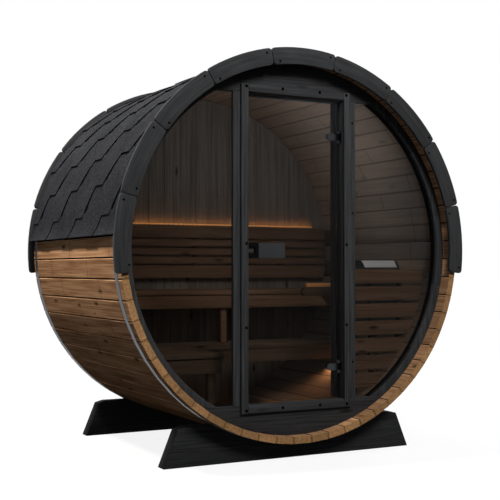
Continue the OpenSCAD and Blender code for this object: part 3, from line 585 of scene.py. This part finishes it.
# Lights: warm diodes behind an opal diffuser on the top of the backrest, which light the wall behind it.
# A short strip screwed to the apron of the lower bench lights the staves below it.
def lit_diffuser(name, power, faces):
    """Opal diffuser over diodes 33 mm apart: dim on its sides, bright on faces that look a given way."""
    material, tree, shader, place = new_material(name)
    beads = put(tree, "SeparateXYZ", {0: place}).outputs[0]
    beads = put(tree, "Math", {0: beads, 1: math.tau / 0.033}, operation="MULTIPLY").outputs[0]
    beads = put(tree, "Math", {0: beads}, operation="SINE").outputs[0]
    beads = put(tree, "MapRange", {"Value": beads, "From Min": -1.0, "To Min": 0.0}).outputs["Result"]
    colour = put(tree, "ValToRGB", {"Fac": beads}, [(0.0, "#f59a4a"), (1.0, "#ffc07a")]).outputs["Color"]
    tree.links.new(colour, shader.inputs["Base Color"])
    tree.links.new(colour, shader.inputs["Emission Color"])
    for direction, strength in faces:
        level = put(tree, "VectorMath", {0: put(tree, "TexCoord").outputs["Normal"], 1: direction},
                    operation="DOT_PRODUCT").outputs["Value"]
        level = put(tree, "MapRange", {"Value": level, "From Min": 0.9, "From Max": 0.98,
                    "To Max": strength})
        power = put(tree, "Math", {0: level.outputs["Result"], 1: power}, operation="ADD").outputs[0]
    tree.links.new(power, shader.inputs["Emission Strength"])
    return material


strip_light = boards_of("light_strip", "light_strip_diffuser")
ease(strip_light, 0.0008)
opal = lit_diffuser("Opal diffuser, lit on the backrest", 0.24, (((0, 0, 1), 1.9), ((0, 1, 0), 13.2)))
fix(strip_light, opal, "shell", "light", "light_strip")

light_x, light_l, light_w, light_h = 0.698, 0.07, 0.010, 0.016
apron_t, below_seat, lip = 0.028, 0.07, 0.002
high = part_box("lower_bench_frame")[1]
bpy.ops.object.select_all(action="DESELECT")
bpy.ops.mesh.primitive_cube_add(size=1)
strip_light = bpy.context.object
strip_light.name = "under_bench_light"
light_at = (light_x, high.y - apron_t - light_w / 2, high.z - below_seat)
strip_light.data.transform(Matrix.Translation(light_at) @ Matrix.Diagonal((light_l, light_w, light_h, 1)))
start_edit(strip_light)
pick(strip_light, lambda centre, normal: normal.z < -0.9)
bpy.ops.mesh.inset(thickness=lip)
bpy.ops.mesh.extrude_region_move(TRANSFORM_OT_translate={"value": (0, 0, -lip)})
bpy.ops.object.mode_set(mode="OBJECT")
ease(strip_light, 0.0008)
opal = lit_diffuser("Opal diffuser, lit under the bench", 0.03, (((0, 0, -1), 1.2),))
fix(strip_light, opal, "shell", "light")


# Heater: a black enamelled steel casing on four legs, with a brushed stainless hood over its stones.
# The hood is folded from sheet and stands between the two cheeks of the casing.

# Fired enamel is nearly black, with a dull gloss and a slight mottle.
enamel, _, shader, _ = speckled("Black enamelled sheet steel", 0.004, 3.0,
                                [(0.3, "#131314"), (0.7, "#1d1d1f")])
shader.inputs["Roughness"].default_value = 0.45
shader.inputs["Specular IOR Level"].default_value = 0.3
casing = boards_of("heater", "heater_casing")
ease(casing, 0.004, 3)
fix(casing, enamel, "shell", "heater_black", "heater")

# Brush lines run along the hood, and the steel is drawn pale and dull.
# Real lines are finer than 0.1 mm, and are drawn 3 mm apart so that they show.
stainless, tree, shader, place = new_material("Stainless steel, brushed")
lines = put(tree, "Mapping", {"Vector": place, "Scale": (1 / 0.3, 1 / 0.003, 1 / 0.003)}).outputs[0]
lines = put(tree, "TexNoise", {"Vector": lines, "Scale": 1.0, "Detail": 3.0}).outputs["Fac"]
colour = put(tree, "ValToRGB", {"Fac": lines}, [(0.3, "#d3d5d7"), (0.7, "#eceef0")]).outputs["Color"]
tree.links.new(colour, shader.inputs["Base Color"])
shader.inputs["Metallic"].default_value = 0.2
shader.inputs["Roughness"].default_value = 0.42
hood = boards_of("heater_hood", "heater_hood_sheet")
ease(hood, 0.003, 3)
fix(hood, stainless, "shell", "heater_steel", "heater_hood")


# Roof: felt underlay and courses of bitumen shingles with hexagonal tabs, nailed round the barrel.
# Each course laps the one below by half a tab, the lowest flares out at the eave, and caps cover the ridge.

# Slate grit of 1 mm gives a matt, sandy black. It is drawn in clumps of 11 mm so that it shows.
shingle, tree, shader, place = new_material("Mineral-faced bitumen shingle")
grit = put(tree, "TexNoise", {"Vector": place, "Scale": 1 / 0.011, "Detail": 4.0,
           "Roughness": 0.75}).outputs["Fac"]
patch = put(tree, "TexNoise", {"Vector": place, "Scale": 1 / 0.18, "Detail": 2.0}).outputs["Fac"]
colour = put(tree, "ValToRGB", {"Fac": grit}, [(0.34, "#141517"), (0.66, "#37383b")]).outputs["Color"]
tone = put(tree, "MapRange", {"Value": patch, "From Min": 0.3, "From Max": 0.7, "To Min": 0.84,
           "To Max": 1.16}).outputs["Result"]
colour = put(tree, "VectorMath", {0: colour, "Scale": tone}, operation="SCALE").outputs[0]
# The cut edges, whose normals don't point away from the axis, show the black bitumen under the grit.
parts = put(tree, "SeparateXYZ", {0: place})
rise = put(tree, "Math", {0: parts.outputs[2], 1: axis_height}, operation="SUBTRACT").outputs[0]
outward = put(tree, "CombineXYZ", {0: parts.outputs[0], 2: rise}).outputs[0]
outward = put(tree, "VectorMath", {0: outward}, operation="NORMALIZE").outputs[0]
outward = put(tree, "VectorMath", {0: outward, 1: put(tree, "TexCoord").outputs["Normal"]},
              operation="DOT_PRODUCT").outputs["Value"]
cut = put(tree, "MapRange", {"Value": outward, "From Min": 0.5, "From Max": 0.85,
          "To Min": 0.2}).outputs["Result"]
colour = put(tree, "VectorMath", {0: colour, "Scale": cut}, operation="SCALE").outputs[0]
tree.links.new(colour, shader.inputs["Base Color"])
shader.inputs["Roughness"].default_value = 0.85
shader.inputs["Specular IOR Level"].default_value = 0.02
relief = put(tree, "Bump", {"Height": grit, "Strength": 0.6, "Distance": 0.0012}).outputs["Normal"]
tree.links.new(relief, shader.inputs["Normal"])

tab_pitch, tab_flat, course_height, lap = 0.404, 0.117, 0.168, 0.024
shoulder = tab_pitch - tab_flat
first_tab, tabs, rows, bends = -0.5225, 6, 10, 6
course_r, lift, sheet_t, half_length, ridge_gap = 1.0378, 0.0052, 0.0038, 0.7272, 0.0004
eave_turn, eave_course, eave_flare, flare_power = math.radians(86.7), 0.104, 0.022, 2.6
starter_t, starter_gap = 0.0024, 0.0001
eave_arc = eave_turn * course_r
first_low = eave_arc - eave_course
untrimmed = course_height + 1


def hexagon_course(offset, drop):
    """One flat course: a head strip with tabs that taper to a flat edge, trimmed to the roof's length."""
    bpy.ops.object.select_all(action="DESELECT")
    bpy.ops.mesh.primitive_plane_add(size=1, location=(0, 0, 0))
    course = bpy.context.object
    course.data.transform(Matrix.Translation((0, lap / 2, 0)) @ Matrix.Diagonal((tab_pitch, lap, 1, 1)))
    start_edit(course)
    for side in (-1, 1):
        bpy.ops.mesh.select_all(action="SELECT")
        bpy.ops.mesh.bisect(plane_co=(side * shoulder / 2, 0, 0), plane_no=(1, 0, 0))
    mesh = bmesh.from_edit_mesh(course.data)
    for edge in mesh.edges:
        edge.select_set(False)
    for edge in mesh.edges:
        if all(abs(v.co.y) < 1e-6 and abs(v.co.x) < shoulder / 2 + 1e-5 for v in edge.verts):
            edge.select_set(True)
    bmesh.update_edit_mesh(course.data)
    bpy.ops.mesh.extrude_region_move(TRANSFORM_OT_translate={"value": (0, -course_height, 0)})
    bpy.ops.transform.resize(value=(tab_flat / shoulder, 1, 1), center_override=(0, -course_height, 0))
    for bend in range(1, bends):
        bpy.ops.mesh.select_all(action="SELECT")
        bpy.ops.mesh.bisect(plane_co=(0, -course_height * bend / bends, 0), plane_no=(0, 1, 0))
    bpy.ops.object.mode_set(mode="OBJECT")
    array = course.modifiers.new("tabs", "ARRAY")
    array.count = tabs
    array.use_relative_offset = False
    array.use_constant_offset = True
    array.constant_offset_displace = (tab_pitch, 0, 0)
    array.use_merge_vertices = True
    bpy.ops.object.modifier_apply(modifier="tabs")
    course.data.transform(Matrix.Translation((offset, 0, 0)))
    start_edit(course)
    for side in (-1, 1):
        bpy.ops.mesh.select_all(action="SELECT")
        bpy.ops.mesh.bisect(plane_co=(side * half_length, 0, 0), plane_no=(side, 0, 0), clear_outer=True)
    bpy.ops.mesh.select_all(action="SELECT")
    bpy.ops.mesh.bisect(plane_co=(0, -drop, 0), plane_no=(0, -1, 0), clear_outer=True)
    bpy.ops.object.mode_set(mode="OBJECT")
    thick = course.modifiers.new("thick", "SOLIDIFY")
    thick.thickness = sheet_t
    thick.offset = 1
    bpy.ops.object.modifier_apply(modifier="thick")
    return course


def wrap(piece, side, low, flare=0.0, base=0.0):
    """Lays a flat course round the barrel, with its lower edge lifted by the course below."""
    head = low - course_height - lap
    for v in piece.data.vertices:
        arc = max(low - course_height - v.co.y, ridge_gap)
        radius = course_r + base + v.co.z
        if flare:
            radius += flare * max(0.0, (arc - first_low) / (eave_arc - first_low)) ** flare_power
        else:
            radius += lift * (arc - head) / (low - head)
        turn = arc / course_r
        v.co = (side * radius * math.sin(turn), v.co.x, axis_height + radius * math.cos(turn))
    start_edit(piece)
    bpy.ops.mesh.remove_doubles(threshold=0.00002)
    bpy.ops.mesh.normals_make_consistent(inside=False)
    bpy.ops.object.mode_set(mode="OBJECT")
    bpy.ops.object.shade_smooth_by_angle(angle=math.radians(35))


for side, node in ((-1, "left_shingles"), (1, "right_shingles")):
    sheets = []
    for row in range(rows):
        start = first_tab - 2 * tab_pitch + (tab_pitch / 2 if row % 2 == 0 else 0)
        if row == 0:
            course = hexagon_course(start, eave_arc - first_low)
            wrap(course, side, first_low + course_height, eave_flare, starter_t + starter_gap)
        else:
            course = hexagon_course(start, untrimmed)
            wrap(course, side, first_low - (row - 1) * course_height)
        sheets.append(course)
    bpy.ops.object.select_all(action="DESELECT")
    bpy.ops.mesh.primitive_grid_add(x_subdivisions=1, y_subdivisions=8, size=1)
    starter = bpy.context.object
    starter.data.transform(Matrix.Translation((0, (lap - eave_course) / 2, 0))
                           @ Matrix.Diagonal((2 * half_length, eave_course + lap, 1, 1)))
    thick = starter.modifiers.new("thick", "SOLIDIFY")
    thick.thickness, thick.offset = starter_t, 1
    bpy.ops.object.modifier_apply(modifier="thick")
    wrap(starter, side, first_low + course_height, eave_flare)
    sheets.append(starter)
    fix(joined(sheets, node + "_tabs"), shingle, "shell", "shingle", node)

caps = []
cap_count, cap_length, cap_width, cap_lift, cap_tilt = 6, 0.30, 0.184, 0.004, 0.003
ridge_r = course_r + lift + cap_lift
for i in range(cap_count):
    bpy.ops.object.select_all(action="DESELECT")
    bpy.ops.mesh.primitive_grid_add(x_subdivisions=4, y_subdivisions=10, size=1)
    cap = bpy.context.object
    thick = cap.modifiers.new("thick", "SOLIDIFY")
    thick.thickness, thick.offset = sheet_t, 1
    cap.data.transform(Matrix.Diagonal((cap_length, cap_width, 1, 1)))
    bpy.ops.object.modifier_apply(modifier="thick")
    start = -half_length + i * (2 * half_length - cap_length) / (cap_count - 1) + cap_length / 2
    for v in cap.data.vertices:
        radius = ridge_r + v.co.z + cap_tilt * (0.5 - v.co.x / cap_length)
        turn = v.co.y / ridge_r
        v.co = (radius * math.sin(turn), start + v.co.x, axis_height + radius * math.cos(turn))
    caps.append(cap)
fix(joined(caps, "ridge_cap_sheets"), shingle, "shell", "shingle", "ridge_cap")
felt = boards_of("roof_underlay", "roof_underlay_felt")
bpy.ops.object.shade_smooth_by_angle(angle=math.radians(35))
fix(felt, shingle, "shell", "shingle", "roof_underlay")


# Fascia: nine curved boards at each end of the barrel, sawn from stained planks with rounded corners.
# A screw at each end of a board holds it to the ends of the staves and of the roof.

# The grain bends with the boards under a thin black stain, which each board takes a little differently.
# The third coordinate gives each board its own grain. The lines are drawn 9 mm apart, as on the planks.
black_curved, tree, shader, place = new_material("Spruce stained black, sawn to the curve")
board = put(tree, "NewGeometry").outputs["Random Per Island"]
parts = put(tree, "SeparateXYZ", {0: place})
rise = put(tree, "Math", {0: parts.outputs[2], 1: axis_height}, operation="SUBTRACT").outputs[0]
turn = put(tree, "Math", {0: parts.outputs[0], 1: rise}, operation="ARCTAN2").outputs[0]
turn = put(tree, "Math", {0: turn, 1: board}, operation="ADD").outputs[0]
radius = put(tree, "CombineXYZ", {0: parts.outputs[0], 1: rise}).outputs[0]
radius = put(tree, "VectorMath", {0: radius}, operation="LENGTH").outputs["Value"]
bent = put(tree, "CombineXYZ", {0: radius, 1: turn, 2: board}).outputs[0]
fine = put(tree, "Mapping", {"Vector": bent, "Scale": (1 / 0.009, 1 / 0.3, 40.0)}).outputs[0]
wide = put(tree, "Mapping", {"Vector": bent, "Scale": (1 / 0.06, 1 / 0.12, 40.0)}).outputs[0]
grain = put(tree, "TexNoise", {"Vector": fine, "Scale": 1.0, "Detail": 5.0, "Roughness": 0.6,
            "Distortion": 0.3}).outputs["Fac"]
cloud = put(tree, "TexNoise", {"Vector": wide, "Scale": 1.0, "Detail": 3.0}).outputs["Fac"]
colour = put(tree, "ValToRGB", {"Fac": grain}, [(0.3, "#303031"), (0.7, "#414243")]).outputs["Color"]
for value, low, high, least, most in ((board, 0.0, 1.0, 0.9, 1.1), (cloud, 0.3, 0.7, 0.9, 1.1)):
    tone = put(tree, "MapRange", {"Value": value, "From Min": low, "From Max": high, "To Min": least,
               "To Max": most}).outputs["Result"]
    colour = put(tree, "VectorMath", {0: colour, "Scale": tone}, operation="SCALE").outputs[0]
tree.links.new(colour, shader.inputs["Base Color"])
shader.inputs["Roughness"].default_value = 0.55
shader.inputs["Specular IOR Level"].default_value = 0.02
relief = put(tree, "Bump", {"Height": grain, "Strength": 0.4, "Distance": 0.0008}).outputs["Normal"]
tree.links.new(relief, shader.inputs["Normal"])

reach, count, corner_r = 97.3, 9, 0.018
# Each screw is so many degrees from the end of its board, at its own radius.
left_screw, right_screw = (2.2, 0.993), (1.8, 1.043)
for node, facing in (("front_fascia", -1), ("rear_fascia", 1)):
    boards = boards_of(node, node + "_boards")
    start_edit(boards)
    mesh = bmesh.from_edit_mesh(boards.data)
    for edge in mesh.edges:
        edge.select_set(False)
    for edge in mesh.edges:
        run = edge.verts[1].co - edge.verts[0].co
        if abs(run.normalized().y) > 0.99 and edge.calc_face_angle(0) > math.radians(45):
            edge.select_set(True)
    bmesh.update_edit_mesh(boards.data)
    bpy.ops.mesh.bevel(offset=corner_r, segments=5, affect="EDGES")
    bpy.ops.object.mode_set(mode="OBJECT")
    ease(boards, 0.004)
    fix(boards, black_curved, "shell", "black_wood", node)
    face_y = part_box(node)[0].y if facing < 0 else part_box(node)[1].y
    step = 2 * reach / count
    spots = []
    for i in range(count):
        for angle, r in ((-reach + i * step + left_screw[0], left_screw[1]),
                         (-reach + (i + 1) * step - right_screw[0], right_screw[1])):
            a = math.radians(angle)
            spots.append((r * math.sin(a), face_y, axis_height + r * math.cos(a)))
    fix(screws(node + "_screws", spots, facing, 0.006), screw_steel, "shell", "black_wood")


# Stage: a plain pale floor and a white world, which the camera, mirrors and glass see as white.
# A lamp stands above on the left, weaker ones all round and in the room, and the camera where the
# photograph was taken from.
def looked_at(tree):
    """One for the rays by which the camera, mirrors and glass see a surface, and else zero."""
    path = put(tree, "LightPath")
    looks = put(tree, "Math", {0: path.outputs["Is Camera Ray"], 1: path.outputs["Is Glossy Ray"]},
                operation="MAXIMUM").outputs[0]
    return put(tree, "Math", {0: looks, 1: path.outputs["Is Transmission Ray"]},
               operation="MAXIMUM").outputs[0]


bpy.ops.object.select_all(action="DESELECT")
bpy.ops.mesh.primitive_plane_add(size=60, location=(0, 0, 0))
floor = bpy.context.object
floor.name = "floor"
floor_gap = 0.0005
floor.data.transform(Matrix.Translation((0, 0, -floor_gap)))
material, tree, shader, place = new_material("Pale studio floor")
distance = put(tree, "VectorMath", {0: place}, operation="LENGTH").outputs["Value"]
share = put(tree, "MapRange", {"Value": distance, "From Min": 2.0, "From Max": 7.0, "To Min": 0.88,
            "To Max": 1.0}).outputs["Result"]
pale = put(tree, "BsdfDiffuse", {"Color": linear("#f4f4f4")}).outputs[0]
white = put(tree, "Emission", {"Color": (1, 1, 1, 1), "Strength": 1.0}).outputs[0]
dark = put(tree, "BsdfDiffuse", {"Color": linear("#2e2e2e")}).outputs[0]
seen = put(tree, "MixShader", {0: share, 1: pale, 2: white}).outputs[0]
surface = put(tree, "MixShader", {0: looked_at(tree), 1: dark, 2: seen}).outputs[0]
tree.links.new(surface, tree.nodes["Material Output"].inputs["Surface"])
tree.nodes.remove(shader)
floor.data.materials.append(material)

world = bpy.data.worlds.new("White studio")
bpy.context.scene.world = world
world.use_nodes = True
tree = world.node_tree
level = put(tree, "MapRange", {"Value": looked_at(tree), "To Min": 0.06, "To Max": 1.0}).outputs["Result"]
tree.nodes["Background"].inputs["Color"].default_value = (1, 1, 1, 1)
tree.links.new(level, tree.nodes["Background"].inputs["Strength"])


def area_lamp(name, place, target, size, watts, colour):
    """A round soft lamp that shines on a point and isn't seen itself."""
    data = bpy.data.lights.new(name, "AREA")
    data.shape = "DISK"
    data.size = size
    data.energy = watts
    data.color = linear(colour)[:3]
    lamp = bpy.data.objects.new(name, data)
    bpy.context.scene.collection.objects.link(lamp)
    lamp.location = place
    lamp.rotation_euler = (Vector(target) - Vector(place)).to_track_quat("-Z", "Y").to_euler()
    lamp.visible_camera = lamp.visible_glossy = lamp.visible_transmission = False


area_lamp("key", (-4.1, 0.4, 7.6), (0, 0, 1.1), 0.7, 880, "#fffaf4")
area_lamp("front fill", (-0.2, -6.1, 6.0), (0, 0, 1.1), 2.6, 430, "#ffffff")
area_lamp("left rim", (-6.5, -2.6, 2.0), (0, -0.7, 1.1), 1.5, 30, "#e4ecff")
area_lamp("overhead", (0, 0.5, 7.5), (0, 0, 1.1), 4.0, 120, "#ffffff")
area_lamp("right side", (5.5, 1.5, 4.5), (0, 0, 1.1), 2.5, 230, "#ffffff")
area_lamp("back", (0.5, 7.0, 3.5), (0, 0, 1.1), 2.5, 250, "#ffffff")
area_lamp("room top light", (0.1, -0.45, 1.6), (0.2, 0.7, 2.2), 0.4, 3.9, "#dce9fb")
area_lamp("room right light", (0.3, -0.1, 1.45), (0.95, -0.2, 1.65), 0.4, 1.4, "#c4e0ff")
area_lamp("room front light", (0.2, -0.45, 1.0), (0.3, 0.6, 0.5), 0.4, 0.36, "#f0f5ff")
area_lamp("floor glow", (0.70, 0.03, 0.425), (0.50, -0.2, 0.045), 0.04, 1.6, "#ffca92")

focal_px, frame_px, sensor_mm = 1016.76, 500, 36
camera_data = bpy.data.cameras.new("camera")
camera_data.sensor_width = sensor_mm
camera_data.lens = focal_px / frame_px * sensor_mm
camera = bpy.data.objects.new("camera", camera_data)
bpy.context.scene.collection.objects.link(camera)
camera.location = (-2.788, -5.3549, 1.0063)
yaw, pitch = 0.4904, 0.0192
camera.rotation_euler = (math.radians(90) + pitch, 0, -yaw)
bpy.context.scene.camera = camera
bpy.context.scene.view_settings.view_transform = "Standard"
